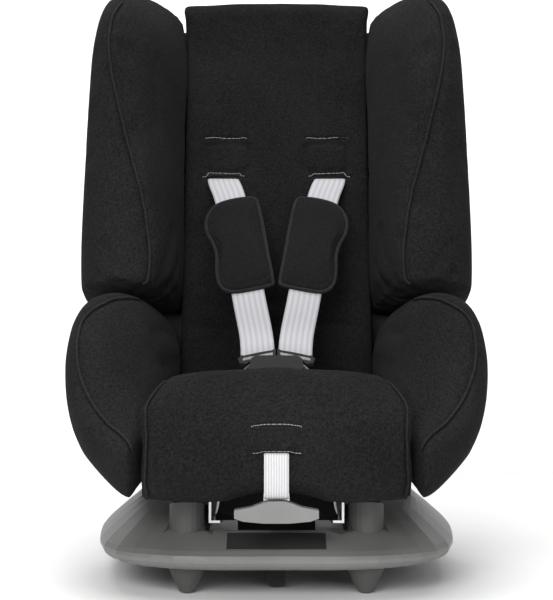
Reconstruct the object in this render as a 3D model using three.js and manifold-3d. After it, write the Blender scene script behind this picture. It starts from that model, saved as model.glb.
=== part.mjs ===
// A convertible child car seat: a padded seat shell with a five-point harness that reclines on a moulded base.
// Millimetres, +Z up, the child faces -Y. The origin is under the middle of the seat, on the floor.
import * as THREE from "three";
import { mergeVertices } from "three/addons/utils/BufferGeometryUtils.js";
import Module from "manifold-3d";

const wasm = await Module();
wasm.setup();

// ---------- driving dimensions ----------
const GAP = 0.4; // clearance kept between touching pieces
const BACK_LEAN = THREE.MathUtils.degToRad(15.5); // backrest lean from vertical
const BITE = { y: 30, z: 185 }; // where the backrest meets the seat
const BACK_LENGTH = 529; // backrest surface, bite to top edge
const BACK_HALF = 114; // half width of the central back panel
const BACK_PAD = 26; // thickness of the back cushion
const BACK_FOAM = 14;
const SHELL_WALL = 5;
const SHELL_HALF = 206; // half width over the shell's side walls
const SEAT_FRONT = -240; // front of the seat cushion
const CREST = { y: -178, z: 232 }; // highest line of the seat cushion
const PAN_Z = 126; // underside of the seat pan
const SEAT_FOAM_TOP = 163;
const WEB_WIDE = 38; // harness webbing
const WEB_NARROW = 25; // adjuster webbing
const WEB_THICK = 1.6;
const SLOT_HALF = 26; // half length of a harness slot
const SLOT_X = 66; // harness slots, either side of the middle
const SLOT_LOW = 283; // up the backrest from the bite
const SLOT_HIGH = 333;
const SWING = { y: -60, z: 520 }; // centre of the recline arc
const RAIL_TOP_R = 438; // top of the base rails, from the arc's centre
const FOOT_R = 458; // outside of the steel hook rails' feet
const STEEL = 2.5;
const BASE_FLOOR = 48; // floor of the base's middle channel
const BASE_BOTTOM = 30;
const BUCKLE = { y: -90, z: 222, lean: THREE.MathUtils.degToRad(45) };

// ---------- materials ----------
const plain = (color, roughness, metalness = 0) => new THREE.MeshStandardMaterial({ color, roughness, metalness });
const fabric = plain(0x1c1c1d, 0.95);
const foam = plain(0x6d6f70, 0.9);
const shellPlastic = plain(0x232426, 0.55);
const greyPlastic = plain(0x5c5c5a, 0.45);
const lightPlastic = plain(0x929290, 0.5);
const darkPlastic = plain(0x2c2c2e, 0.5);
const redPlastic = plain(0xa01518, 0.4);
const webbing = plain(0xb4b4b9, 0.8);
const steel = plain(0xc4c6c8, 0.3, 1);
const rubber = plain(0x18181a, 0.9);

const seat = new THREE.Group();
// The backrest's own frame: +Z up the back, +Y into the back, origin at the bite.
const back = new THREE.Group();
back.position.set(0, BITE.y, BITE.z);
back.rotation.x = -BACK_LEAN;
// The buckle's own frame: +Z the way the shoulder webbing pulls, -Y the button's face.
const buckleFrame = new THREE.Group();
buckleFrame.position.set(0, BUCKLE.y, BUCKLE.z);
buckleFrame.rotation.x = -BUCKLE.lean;
seat.add(back, buckleFrame);
for (const g of [back, buckleFrame]) g.updateMatrix();

// ---------- solids ----------
function solid(geometry) {
  const g = (geometry.index ? geometry.toNonIndexed() : geometry.clone());
  const bare = new THREE.BufferGeometry().setAttribute("position", g.getAttribute("position"));
  const merged = mergeVertices(bare, 1e-3);
  return new wasm.Manifold(new wasm.Mesh({
    numProp: 3,
    vertProperties: merged.attributes.position.array,
    triVerts: new Uint32Array(merged.index.array),
  }));
}

function geometryOf(manifold) {
  const m = manifold.getMesh();
  return new THREE.BufferGeometry()
    .setAttribute("position", new THREE.BufferAttribute(m.vertProperties, 3))
    .setIndex(new THREE.BufferAttribute(m.triVerts, 1));
}

function add(parent, name, material, ...shapes) {
  const made = shapes.map((s) => (s.isBufferGeometry ? solid(s) : s)).reduce((a, b) => a.add(b));
  const mesh = new THREE.Mesh(geometryOf(made), material);
  mesh.name = name;
  parent.add(mesh);
  return mesh;
}

function box(x0, x1, y0, y1, z0, z1) {
  return solid(new THREE.BoxGeometry(x1 - x0, y1 - y0, z1 - z0)
    .translate((x0 + x1) / 2, (y0 + y1) / 2, (z0 + z1) / 2));
}

// A box with rounded corners in the XZ plane, seen along Y.
function roundedPlate(x0, x1, y0, y1, z0, z1, r) {
  const s = new THREE.Shape();
  s.moveTo(x0 + r, z0).lineTo(x1 - r, z0);
  s.absarc(x1 - r, z0 + r, r, -Math.PI / 2, 0).absarc(x1 - r, z1 - r, r, 0, Math.PI / 2);
  s.absarc(x0 + r, z1 - r, r, Math.PI / 2, Math.PI).absarc(x0 + r, z0 + r, r, Math.PI, 1.5 * Math.PI);
  return solid(new THREE.ExtrudeGeometry(s, { depth: y1 - y0, bevelEnabled: false, curveSegments: 4 })
    .rotateX(Math.PI / 2).translate(0, y1, 0));
}

// An outline of [y, z] points extruded along X.
function sidePlate(points, x0, x1) {
  const s = new THREE.Shape(points.map(([y, z]) => new THREE.Vector2(y, z)));
  return solid(new THREE.ExtrudeGeometry(s, { depth: x1 - x0, bevelEnabled: false })
    .applyMatrix4(new THREE.Matrix4().makeBasis(
      new THREE.Vector3(0, 1, 0), new THREE.Vector3(0, 0, 1), new THREE.Vector3(1, 0, 0)))
    .translate(x0, 0, 0));
}

// A strip between two radii of the recline arc, from y0 to y1, extruded along X.
function arcPoint(r, y) {
  return [y, SWING.z - Math.sqrt(r * r - (y - SWING.y) ** 2)];
}
function arcStrip(rIn, rOut, y0, y1, x0, x1, steps = 10) {
  const at = (i) => y0 + ((y1 - y0) * i) / steps;
  const low = Array.from({ length: steps + 1 }, (_, i) => arcPoint(rOut, at(i)));
  const high = Array.from({ length: steps + 1 }, (_, i) => arcPoint(rIn, at(steps - i)));
  return sidePlate([...low, ...high], x0, x1);
}

function smooth(points, n, closed) {
  const curve = new THREE.CatmullRomCurve3(points.map((p) => new THREE.Vector3(...p)), closed, "centripetal");
  return closed ? curve.getPoints(n).slice(0, n) : curve.getPoints(n - 1);
}

// Closed sections skinned along their order, with flat ends.
function skin(sections) {
  const n = sections[0].length;
  const v = sections.flat();
  const index = [];
  for (let i = 0; i + 1 < sections.length; i++)
    for (let j = 0; j < n; j++) {
      const a = i * n + j, b = i * n + ((j + 1) % n), c = a + n, d = b + n;
      index.push(a, b, d, a, d, c);
    }
  const cap = (k, turn) => {
    const loop = sections[k];
    const mid = loop.reduce((m, p) => m.add(p), new THREE.Vector3()).divideScalar(n);
    const normal = new THREE.Vector3();
    loop.forEach((p, j) => normal.add(p.clone().sub(mid).cross(loop[(j + 1) % n].clone().sub(mid))));
    const turnFlat = new THREE.Quaternion().setFromUnitVectors(normal.normalize(), new THREE.Vector3(0, 0, 1));
    const flat = loop.map((p) => p.clone().sub(mid).applyQuaternion(turnFlat)).map((p) => new THREE.Vector2(p.x, p.y));
    for (const [a, b, c] of THREE.ShapeUtils.triangulateShape(flat, []))
      index.push(...(turn ? [a, c, b] : [a, b, c]).map((q) => q + k * n));
  };
  cap(0, true);
  cap(sections.length - 1, false);
  const make = (idx) => new THREE.BufferGeometry()
    .setAttribute("position", new THREE.Float32BufferAttribute(v.flatMap((p) => [p.x, p.y, p.z]), 3)).setIndex(idx);
  const made = solid(make(index));
  if (made.volume() > 0) return made;
  const flipped = [];
  for (let i = 0; i < index.length; i += 3) flipped.push(index[i], index[i + 2], index[i + 1]);
  return solid(make(flipped));
}

// Rows of key points, smoothed round each section and along the rows.
function loft(rows, around, along) {
  const rings = rows.map((r) => smooth(r, around, true));
  const lines = Array.from({ length: around }, (_, j) => smooth(rings.map((r) => r[j].toArray()), along, false));
  return skin(Array.from({ length: along }, (_, i) => lines.map((l) => l[i])));
}

// Flat webbing along a path: width runs along `across` at each point.
function strap(path, width, thick, steps, acrossAt) {
  const line = smooth(path, steps, false);
  const ring = (p, i) => {
    const before = line[Math.max(i - 1, 0)], after = line[Math.min(i + 1, line.length - 1)];
    const way = after.clone().sub(before).normalize();
    const across = acrossAt(i / (line.length - 1)).clone();
    across.addScaledVector(way, -across.dot(way)).normalize();
    const out = way.clone().cross(across);
    return [[-1, -1], [1, -1], [1, 1], [-1, 1]].map(([a, b]) => p.clone()
      .addScaledVector(across, (a * width) / 2).addScaledVector(out, (b * thick) / 2));
  };
  return skin(line.map(ring));
}

const inBack = (x, y, z) => new THREE.Vector3(x, y, z).applyMatrix4(back.matrix);
const inBuckle = (x, y, z) => new THREE.Vector3(x, y, z).applyMatrix4(buckleFrame.matrix);
const mirrored = (m) => m.mirror([1, 0, 0]);
const SIDES = [["right", 1], ["left", -1]];
const onSide = (m, side) => (side > 0 ? m : mirrored(m));

// ---------- base ----------
// One level of the base's outer form: half width, front and rear at height z.
function baseLevel(z, w, front, rear) {
  const half = [[0.55 * w, front + 5], [0.86 * w, front + 42], [w, -30], [0.98 * w, 90], [0.84 * w, rear - 28],
    [0.45 * w, rear - 4]];
  const right = half.map(([x, y]) => [x, y, z]);
  return [[0, front, z], ...right, [0, rear, z], ...right.map(([x, y]) => [-x, y, z]).reverse()];
}
const BASE_LEVELS = [[30, 174, -202, 222], [33, 190, -211, 236], [39, 198, -215, 242], [46, 200, -213, 243],
  [54, 194, -197, 241], [62, 185, -173, 237], [72, 173, -140, 228], [82, 160, -105, 218], [88, 152, -80, 208]];
const BASE_WALL = 4;
const CHANNEL = { half: 76, front: -163, rear: 170 };
const RAIL = { in: 77, out: 114, front: -148, rear: 132 };

function baseShell() {
  const outer = loft(BASE_LEVELS.map((l) => baseLevel(...l)), 44, 17);
  const skinned = BASE_LEVELS.map(([z, w, f, r]) => [z > 50 ? z - BASE_WALL : z, w - BASE_WALL, f + BASE_WALL,
    r - BASE_WALL]);
  const inner = loft([[BASE_BOTTOM - 10, 168, -196, 216], ...skinned].map((l) => baseLevel(...l)), 32, 10);
  const channel = box(-CHANNEL.half, CHANNEL.half, CHANNEL.front, CHANNEL.rear, BASE_FLOOR, 140);
  const channelWall = box(-CHANNEL.half - BASE_WALL, CHANNEL.half + BASE_WALL, CHANNEL.front - BASE_WALL,
    CHANNEL.rear + BASE_WALL, BASE_FLOOR - BASE_WALL, 140);
  const railMid = (RAIL.in + RAIL.out) / 2, railHalf = (RAIL.out - RAIL.in) / 2;
  const nose = solid(new THREE.CylinderGeometry(railHalf, railHalf, 110, 20).rotateX(Math.PI / 2)
    .translate(railMid, RAIL.front, 90));
  const rail = box(RAIL.in, RAIL.out, RAIL.front, RAIL.rear, 44, 145).add(nose)
    .subtract(arcStrip(300, RAIL_TOP_R, -190, 150, 60, 130, 14));
  const rails = rail.add(mirrored(rail)).subtract(box(-200, 200, -250, 250, 0, 44));
  const hull = outer.subtract(inner.subtract(channelWall))
    .subtract(arcStrip(300, RAIL_TOP_R, -190, 150, -RAIL.out, RAIL.out, 14));
  return hull.add(rails).subtract(channel).subtract(insertRecess());
}

// The blank panel let into the base's front slope, in a frame turned to the slope.
const INSERT = { half: 51, y: -185.6, z: 57.4, tilt: THREE.MathUtils.degToRad(19), length: 36, deep: 2.4 };
function onSlope(m) {
  const t = new THREE.Matrix4().makeRotationX(INSERT.tilt).setPosition(0, INSERT.y, INSERT.z);
  return m.transform(t.elements);
}
const slopePlate = (half, length, low, high) => onSlope(box(-half, half, -length / 2, length / 2, low, high));
const insertRecess = () => slopePlate(INSERT.half + 0.5, INSERT.length + 1, -INSERT.deep, 12);

const base = new THREE.Group();
add(base, "base_shell", greyPlastic, baseShell());
add(base, "base_front_panel", darkPlastic, slopePlate(INSERT.half, INSERT.length, -INSERT.deep + GAP, 0.2));
add(base, "base_pan", darkPlastic, loft([[BASE_BOTTOM + 0.2, 164, -191, 211], [BASE_BOTTOM + 3.6, 164, -191, 211]]
  .map((l) => baseLevel(...l)), 24, 2));

// Conical feet: the front pair shows below the base's front edge.
const FOOT_PROFILE = [[0, 0], [5, 0], [8.5, 2.2], [10.5, 6], [15, 15], [21.5, BASE_BOTTOM - GAP], [0, BASE_BOTTOM - GAP]];
const FEET = [["front", 94, -166], ["rear", 112, 170]];
for (const [end, x, y] of FEET)
  for (const [side, s] of SIDES)
    add(base, `${end}_foot_${side}`, end === "front" ? greyPlastic : rubber,
      new THREE.LatheGeometry(FOOT_PROFILE.map(([r, z]) => new THREE.Vector2(r, z)), 20)
        .rotateX(Math.PI / 2).translate(s * x, y, 0));
add(base, "centre_stop", rubber, roundedPlate(-9.5, 9.5, -146, -136, 3, BASE_BOTTOM - GAP, 3)
  .subtract(solid(new THREE.CylinderGeometry(7, 7, 20, 16).translate(0, -141, BASE_BOTTOM))));
const PAN_SCREWS = [[58, -105], [-58, -105], [58, 110], [-58, 110]];
PAN_SCREWS.forEach(([x, y], i) => add(base, `pan_screw_${i + 1}`, steel,
  new THREE.CylinderGeometry(5, 4.2, 2.6, 14).rotateX(Math.PI / 2).translate(x, y, BASE_BOTTOM - 1.5)));

// The steel-capped guide that the seat's hook rails run under, with the notched rack for the lock bolt.
const FLANGE = { in: FOOT_R - STEEL - 7.5, out: FOOT_R - STEEL - 1, half: 66, front: -132, rear: 112 };
add(base, "guide_block", darkPlastic,
  arcStrip(FLANGE.in, FLANGE.out, FLANGE.front, FLANGE.rear, -FLANGE.half, FLANGE.half, 10),
  sidePlate([[FLANGE.front + 14, BASE_FLOOR + GAP], [FLANGE.rear - 14, BASE_FLOOR + GAP],
    ...Array.from({ length: 8 }, (_, i) => arcPoint(FLANGE.out - 1, FLANGE.rear - 14 - i * (FLANGE.rear - FLANGE.front - 28) / 7))],
  -42, 42));
const RACK = { in: FLANGE.in - 4.5, out: FLANGE.in - GAP, half: 15 };
const NOTCH_STEP = THREE.MathUtils.degToRad(3.3);
const notch = (i) => {
  const turn = new THREE.Matrix4().makeRotationX(-NOTCH_STEP * i);
  const hole = box(-9, 9, -5.5, 5.5, -RACK.out - 1, -RACK.in + 1);
  return hole.transform(turn.setPosition(0, SWING.y, SWING.z).elements);
};
const BOLT_Y = -60;
add(base, "lock_rack", steel, [0, -1, -2, -3].reduce((m, i) => m.subtract(notch(i)),
  arcStrip(RACK.in, RACK.out, BOLT_Y - 14, BOLT_Y + 92, -RACK.half, RACK.half, 8)));

// Red hooks at the base's rear corners, which the vehicle's belt passes through.
const HOOK = [[128, 0], [190, 0], [190, 10], [150, 12], [150, 34], [176, 34], [176, 46], [138, 46], [130, 38]];
for (const [side, s] of SIDES)
  add(base, `belt_guide_${side}`, redPlastic, onSide(sidePlate(HOOK.map(([y, z]) => [y, z + 88 + GAP]), 120, 136), s));
seat.add(base);

// ---------- seat shell ----------
// Everything on the seat turns about the recline arc together.
const PLATE = { front: BACK_PAD + BACK_FOAM + 1, low: -36, high: BACK_LENGTH - 30 };
PLATE.rear = PLATE.front + SHELL_WALL;
const SHELL_SIDE = [[62, 128], [-160, 128], [-165, 150], [-160, 198], [-128, 232], [-88, 256], [-48, 280], [-6, 305],
  [2, 360], [30, 480], [62, 596], [86, 624], [118, 634], [160, 630], [198, 618], [72, 140]];
const slotBoxes = (z, y0, y1, half) => SIDES.map(([, s]) =>
  box(s * SLOT_X - half, s * SLOT_X + half, y0, y1, z - 2.6, z + 2.6));
const CROTCH_Y = -128;
const crotchSlot = () => box(-22, 22, CROTCH_Y - 3, CROTCH_Y + 4, 100, 240);
const LAP = { x: 96, y: -2 };
const lapSlots = () => SIDES.map(([, s]) => box(s * LAP.x - 4, s * LAP.x + 4, LAP.y - 23, LAP.y + 23, 100, 240));

function shellRaw(grow) {
  const wall = SHELL_WALL + 2 * grow;
  const outerSection = [[0, PAN_Z - grow], [132 + grow, PAN_Z - grow], [145 + grow, 131], [200 + grow, 199],
    [SHELL_HALF + grow, 213], [SHELL_HALF + grow, 262]];
  const innerSection = [[SHELL_HALF + grow - wall, 262], [SHELL_HALF + grow - wall, 214], [195 - grow, 202],
    [141 - grow, 137], [129 - grow, PAN_Z + SHELL_WALL + grow], [0, PAN_Z + SHELL_WALL + grow]];
  const half = [...outerSection, ...innerSection];
  const shape = new THREE.Shape(half.map(([x, z]) => new THREE.Vector2(x, z)));
  const length = 75 + 164 + 2 * grow;
  const trough = solid(new THREE.ExtrudeGeometry(shape, { depth: length, bevelEnabled: false })
    .rotateX(Math.PI / 2).translate(0, 75 + grow, 0));
  const whole = trough.add(mirrored(trough));
  const mask = sidePlate([[90, 100], [-170, 100], [-170, 196 + grow], [-128, 232 + grow], [-88, 262], [90, 262]], -260, 260);
  const sideOutline = SHELL_SIDE.map(([y, z]) => [y - grow, z + grow]);
  const side = sidePlate(sideOutline, SHELL_HALF + grow - wall, SHELL_HALF + grow)
    .subtract(box(0, 260, -250, 250, 0, 213 - grow));
  return { whole: whole.intersect(mask), sides: side.add(mirrored(side)) };
}

function seatShell() {
  const { whole, sides } = shellRaw(0);
  const panNose = box(-132, 132, -214, -160, PAN_Z, PAN_Z + SHELL_WALL);
  const corner = 34;
  // The backrest plate, with rounded corners, in the backrest's frame.
  let plate = roundedPlate(-SHELL_HALF, SHELL_HALF, PLATE.front, PLATE.rear, PLATE.low, PLATE.high, corner);
  const RIB_DEEP = 11;
  const upright = [22, 104, 168];
  for (const x of upright)
    for (const s of [1, -1])
      plate = plate.add(box(s * x - 1.8, s * x + 1.8, PLATE.rear - 1, PLATE.rear + RIB_DEEP, 20, 432));
  for (const z of [60, 130, 232, 372, 430])
    plate = plate.add(box(-186, 186, PLATE.rear - 1, PLATE.rear + RIB_DEEP - 2, z - 1.8, z + 1.8));
  // The middle bay stays open for the harness straps and the yoke.
  plate = plate.subtract(box(-19, 19, PLATE.rear, PLATE.rear + 30, 10, 345))
    .subtract(box(-52, 52, PLATE.rear, PLATE.rear + 30, 170, 345))
    .subtract(box(-97, 97, PLATE.rear, PLATE.rear + 30, 224, 345));
  for (const z of [SLOT_LOW, SLOT_HIGH])
    for (const b of slotBoxes(z, 30, 60, SLOT_HALF)) plate = plate.subtract(b);
  return whole.add(sides).add(panNose).add(plate.transform(back.matrix.elements))
    .subtract(crotchSlot()).subtract(lapSlots()[0]).subtract(lapSlots()[1])
    .subtract(box(-16, 16, 40, 120, 110, 150)).subtract(box(-14.5, 14.5, -205, -199, 120, 140));
}
const shellCut = () => {
  const { whole, sides } = shellRaw(GAP + 0.6);
  return whole.add(sides);
};
add(seat, "seat_shell", shellPlastic, seatShell());

// ---------- padding and covers ----------
const seatFoam = [crotchSlot(), ...lapSlots()].reduce((m, b) => m.subtract(b),
  box(-118, 118, -187, 24, PAN_Z + SHELL_WALL + GAP, SEAT_FOAM_TOP));
add(seat, "seat_foam", foam, seatFoam);
const backFoam = [SLOT_LOW, SLOT_HIGH].flatMap((z) => slotBoxes(z, 20, 60, SLOT_HALF)).reduce((m, b) => m.subtract(b),
  box(-108, 108, BACK_PAD + GAP, PLATE.front - GAP, 10, PLATE.high - 4));
add(back, "back_foam", foam, backFoam);

// The back cushion folds over the top of the shell to a hem behind it.
function backCushion() {
  const top = BACK_LENGTH, hem = top - 50;
  const loop = [[2, 4], [-3, 60], [-2, 160], [0, 300], [0, 420], [2, top - 20], [9, top - 6], [24, top], [46, top - 5],
    [58, top - 18], [61, top - 36], [61, hem], [PLATE.rear + GAP, hem], [PLATE.rear + GAP, PLATE.high + GAP],
    [BACK_PAD + GAP, PLATE.high + GAP], [BACK_PAD, 440], [BACK_PAD, 300], [BACK_PAD, 160], [BACK_PAD, 4]];
  const across = [-1, -0.86, -0.5, 0, 0.5, 0.86, 1];
  const crown = (u) => 4 * (1 - u * u);
  const sections = across.map((u) => loop.map(([y, z], i) => {
    const topLift = i >= 5 && i <= 10 ? crown(u) * 1.3 : 0;
    const edge = Math.abs(u) === 1 && i < 9 ? 4 : 0;
    return new THREE.Vector3(u * BACK_HALF, i < 6 ? y + edge - (i > 0 ? crown(u) * 0.5 : 0) : y, z + topLift - (i === 7 ? edge / 2 : 0));
  }));
  const pad = skin(sections);
  return [SLOT_LOW, SLOT_HIGH].flatMap((z) => slotBoxes(z, -30, 60, SLOT_HALF)).reduce((m, b) => m.subtract(b), pad);
}
add(back, "back_cushion", fabric, backCushion());

// The seat cushion: its front roll drops in front of the shell to a hem.
const CUSHION_HEM = 104;
const SEAT_LOOP = [[25, SEAT_FOAM_TOP + GAP], [-125, SEAT_FOAM_TOP + GAP], [-217, SEAT_FOAM_TOP + GAP], [-219, 150],
  [-219, CUSHION_HEM + 1], [-225, CUSHION_HEM], [-233, CUSHION_HEM + 5], [-239, 124], [SEAT_FRONT, 150], [-239, 176], [-233, 200], [-219, 218],
  [-200, 229], [CREST.y, CREST.z], [-154, 216], [-135, 195], [-119, 184], [-80, 179], [-30, 177], [25, 179]];
const SLITS = [154, 180];
function seatCushion() {
  const across = [-1, -0.9, -0.6, 0, 0.6, 0.9, 1];
  const halfWidth = (y) => THREE.MathUtils.mapLinear(THREE.MathUtils.clamp(y, -235, -130), -235, -130, 143, 117.6);
  const sections = across.map((u) => SEAT_LOOP.map(([y, z], i) => {
    const shown = i >= 8 && i <= 16;
    const round = Math.abs(u) === 1 ? 5 : 0;
    const lift = (i >= 11 && i <= 14 ? 9 * (1 - u * u) - 5 : 0) - (shown && i > 10 ? round : 0);
    const pull = i >= 6 && i <= 10 ? round + 4 * u * u : 0;
    const taper = shown ? 1 - 0.08 * THREE.MathUtils.smoothstep(z, 196, 232) : 1;
    return new THREE.Vector3(u * halfWidth(y) * taper, y + pull, z + lift);
  }));
  const slits = SLITS.map((z) => box(-24, 24, -260, -217, z - 1.5, z + 1.5));
  return [crotchSlot(), ...lapSlots(), ...slits].reduce((m, b) => m.subtract(b), skin(sections));
}
add(seat, "seat_cushion", fabric, seatCushion());

// Wing bolsters: [height up the back, then the section's outline as x, depth].
const WING_ROWS = [
  [116, [118, 38], [117, -6], [126, -60], [150, -106], [182, -112], [220, -86], [227, -40], [224, 2], [210, 10], [192, 38]],
  [200, [118, 38], [117, -8], [134, -70], [164, -116], [192, -118], [218, -92], [226, -45], [222, 2], [210, 10], [192, 38]],
  [300, [118, 38], [117, -8], [142, -78], [180, -130], [200, -130], [217, -100], [222, -50], [219, 2], [210, 10], [192, 38]],
  [380, [118, 38], [117, -8], [146, -80], [188, -138], [205, -134], [216, -102], [219, -50], [217, 2], [210, 10], [192, 38]],
  [448, [118, 38], [117, -6], [146, -76], [187, -130], [203, -128], [213, -97], [217, -48], [215, 2], [209, 10], [192, 38]],
  [480, [119, 38], [119, 0], [145, -60], [180, -104], [195, -104], [206, -76], [211, -38], [210, 0], [206, 10], [190, 38]],
  [499, [121, 34], [121, 4], [142, -42], [168, -70], [180, -69], [190, -48], [195, -18], [194, 2], [191, 12], [182, 32]],
  [505, [120, 29], [121, 6], [138, -24], [158, -43], [167, -42], [175, -28], [181, -4], [180, 6], [178, 14], [171, 26]]];
// Arm bolsters: [front to back position, then the section's outline as x, z].
const ARM_ROWS = [
  [50, [150, 112], [121, 150], [117, 200], [116.5, 262], [134, 291], [178, 295], [213, 285], [227, 250], [224, 195], [203, 145]],
  [0, [150, 108], [122, 150], [120, 200], [121, 262], [144, 303], [182, 306], [215, 294], [229, 255], [226, 198], [205, 146]],
  [-45, [150, 106], [123, 150], [124, 200], [132, 262], [160, 313], [188, 318], [217, 302], [230, 258], [227, 200], [206, 146]],
  [-85, [149, 104], [125, 150], [126, 205], [148, 262], [188, 307], [207, 309], [223, 292], [231, 250], [227, 196], [206, 143]],
  [-120, [149, 103], [128, 150], [130, 205], [162, 246], [202, 276], [215, 277], [225, 262], [229, 232], [223, 185], [203, 138]],
  [-155, [148, 102], [133, 148], [136, 195], [168, 220], [199, 238], [210, 237], [217, 223], [219, 198], [213, 167], [193, 134]],
  [-190, [148, 102], [141, 145], [143, 178], [162, 189], [180, 195], [190, 193], [197, 182], [199, 166], [193, 146], [177, 124]],
  [-218, [148, 104], [145, 140], [146, 165], [152, 170], [161, 172], [168, 168], [173, 160], [174, 148], [171, 134], [163, 116]],
  [-234, [149, 116], [148, 134], [148, 150], [151, 154], [154, 155], [157, 152], [159, 146], [159, 138], [157, 130], [153, 120]]];
const wingForm = loft(WING_ROWS.map(([z, ...p]) => p.map(([x, y]) => [x, y, z])), 26, 15)
  .trimByPlane([1, 0, 0], BACK_HALF + 1).trimByPlane([0, -1, 0], -PLATE.front + 1)
  .transform(back.matrix.elements).subtract(shellCut());
const armForm = loft(ARM_ROWS.map(([y, ...p]) => p.map(([x, z]) => [x, y, z])), 26, 16).subtract(shellCut());
for (const [side, s] of SIDES) {
  add(seat, `wing_cushion_${side}`, fabric, onSide(wingForm, s));
  add(seat, `arm_cushion_${side}`, fabric, onSide(armForm, s));
}

// ---------- harness ----------
// An outline of [x, z] points, with an optional hole, extruded along Y.
function frontPlate(points, y0, y1, hole) {
  const s = new THREE.Shape(points.map(([x, z]) => new THREE.Vector2(x, z)));
  if (hole) s.holes.push(new THREE.Path(hole.map(([x, z]) => new THREE.Vector2(x, z))));
  return solid(new THREE.ExtrudeGeometry(s, { depth: y1 - y0, bevelEnabled: false })
    .rotateX(Math.PI / 2).translate(0, y1, 0));
}

// Webbing that keeps straight between the points it is given.
function webbingAlong(points, width, thick, acrossAt) {
  const line = points.map((p) => (p.isVector3 ? p : new THREE.Vector3(...p)));
  const last = line.length - 1;
  const unit = (i) => line[Math.min(i + 1, last)].clone().sub(line[Math.min(i, last - 1)]).normalize();
  return skin(line.map((p, i) => {
    const way = unit(i).add(unit(Math.max(i - 1, 0))).normalize();
    const across = acrossAt(i / last).clone();
    across.addScaledVector(way, -across.dot(way)).normalize();
    const out = way.clone().cross(across);
    return [[-1, -1], [1, -1], [1, 1], [-1, 1]].map(([a, b]) => p.clone()
      .addScaledVector(across, (a * width) / 2).addScaledVector(out, (b * thick) / 2));
  }));
}
const ALONG_X = () => new THREE.Vector3(1, 0, 0);

// The shoulder webbing leaves the lower slot, runs straight through its pad and ends at the tongue.
const PAD = { top: [50.5, 73, 430], low: [33, -16, 317], half: 31, thick: 13 };
const TONGUE = { top: 42, outer: 43, thick: 5, travel: 20 };
const YOKE = { low: 186, high: 214, y: PLATE.rear + 3.5 };
function shoulderStrap() {
  const behind = PLATE.rear + 4;
  return webbingAlong([inBack(26, YOKE.y, YOKE.high + 2.5), inBack(27, YOKE.y, YOKE.high + 12), inBack(44, behind, 245),
    inBack(61, behind, 265), inBack(66, behind - 0.5, 277), inBack(66, behind - 3.5, SLOT_LOW - 0.5),
    inBack(66, behind - 10, SLOT_LOW), inBack(66, 12, SLOT_LOW),
    inBack(65, -4, SLOT_LOW - 1), inBack(62, -14, SLOT_LOW - 9), PAD.top, PAD.low, inBuckle(24, 0, TONGUE.top + 30),
    inBuckle(21.6, 0, TONGUE.top + 1.4)], WEB_WIDE, WEB_THICK, ALONG_X);
}

// A folded pad wrapped round the shoulder webbing, in a frame along the webbing: +Z up it, -Y its face.
function shoulderPad() {
  const top = new THREE.Vector3(...PAD.top), low = new THREE.Vector3(...PAD.low);
  const up = top.clone().sub(low), length = up.length();
  up.normalize();
  const x = new THREE.Vector3(1, 0, 0);
  x.addScaledVector(up, -up.x).normalize();
  const frame = new THREE.Matrix4().makeBasis(x, up.clone().cross(x), up).setPosition(low);
  const reach = length / 2 - 3;
  const outline = [[-27, -reach + 6], [-22, -reach], [12, -reach - 1], [28, -reach + 8], [32, -18], [36, -8], [39, 5],
    [37, 22], [32, 36], [23, reach - 2], [-15, reach], [-25, reach - 5], [-29, 20], [-29, -22]];
  const layer = (grow, y) => smooth(outline.map(([px, pz]) => [px * grow, y, length / 2 + pz * grow]), 26, true);
  const t = PAD.thick / 2;
  const slab = skin([layer(0.93, -t), layer(0.985, -t * 0.7), layer(1, 0), layer(0.985, t * 0.7), layer(0.93, t)]);
  const tunnel = box(-WEB_WIDE / 2 - 0.8, WEB_WIDE / 2 + 0.8, -1.6, 1.6, -20, length + 20);
  return slab.subtract(tunnel).transform(frame.elements);
}

// Lap webbing runs from the tongue's outer end down to its slot beside the bite.
function lapStrap() {
  const atTongue = new THREE.Vector3(-0.87, 0.5, 0), atSlot = new THREE.Vector3(0, 1, 0);
  return strap([[51, -66, 225], [63, -46, 211], [79, -22, 198], [91, -4, 190], [LAP.x, LAP.y, 176],
    [LAP.x, LAP.y, 150], [LAP.x, LAP.y, 121.8]], WEB_WIDE, WEB_THICK, 15,
  (t) => atTongue.clone().lerp(atSlot, Math.min(t * 1.7, 1)));
}

const tongue = frontPlate([[3, 5], [13, 5], [14, 8], [14, 22.5], [30, 22.5], [33, 19], [41, 20], [TONGUE.outer, 26.5],
  [39.5, 31.5], [22, 38.5], [9, TONGUE.top], [1, TONGUE.top], [1, 22.5], [3, 22.5]],
-TONGUE.thick / 2, TONGUE.thick / 2, [[4, 32.5], [4, 37.5], [38, 28.5], [38, 23.5]]);
for (const [side, s] of SIDES) {
  add(seat, `shoulder_strap_${side}`, webbing, onSide(shoulderStrap(), s));
  add(seat, `shoulder_pad_${side}`, fabric, onSide(shoulderPad(), s));
  add(seat, `lap_strap_${side}`, webbing, onSide(lapStrap(), s));
  add(buckleFrame, `buckle_tongue_${side}`, darkPlastic, onSide(tongue, s));
  add(seat, `lap_anchor_${side}`, steel, onSide(box(LAP.x - 10, LAP.x + 10, LAP.y - 28, LAP.y + 28, 122.4, PAN_Z - GAP)
    .subtract(box(LAP.x - 3, LAP.x + 3, LAP.y - 21, LAP.y + 21, 110, 130)), s));
}

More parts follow.
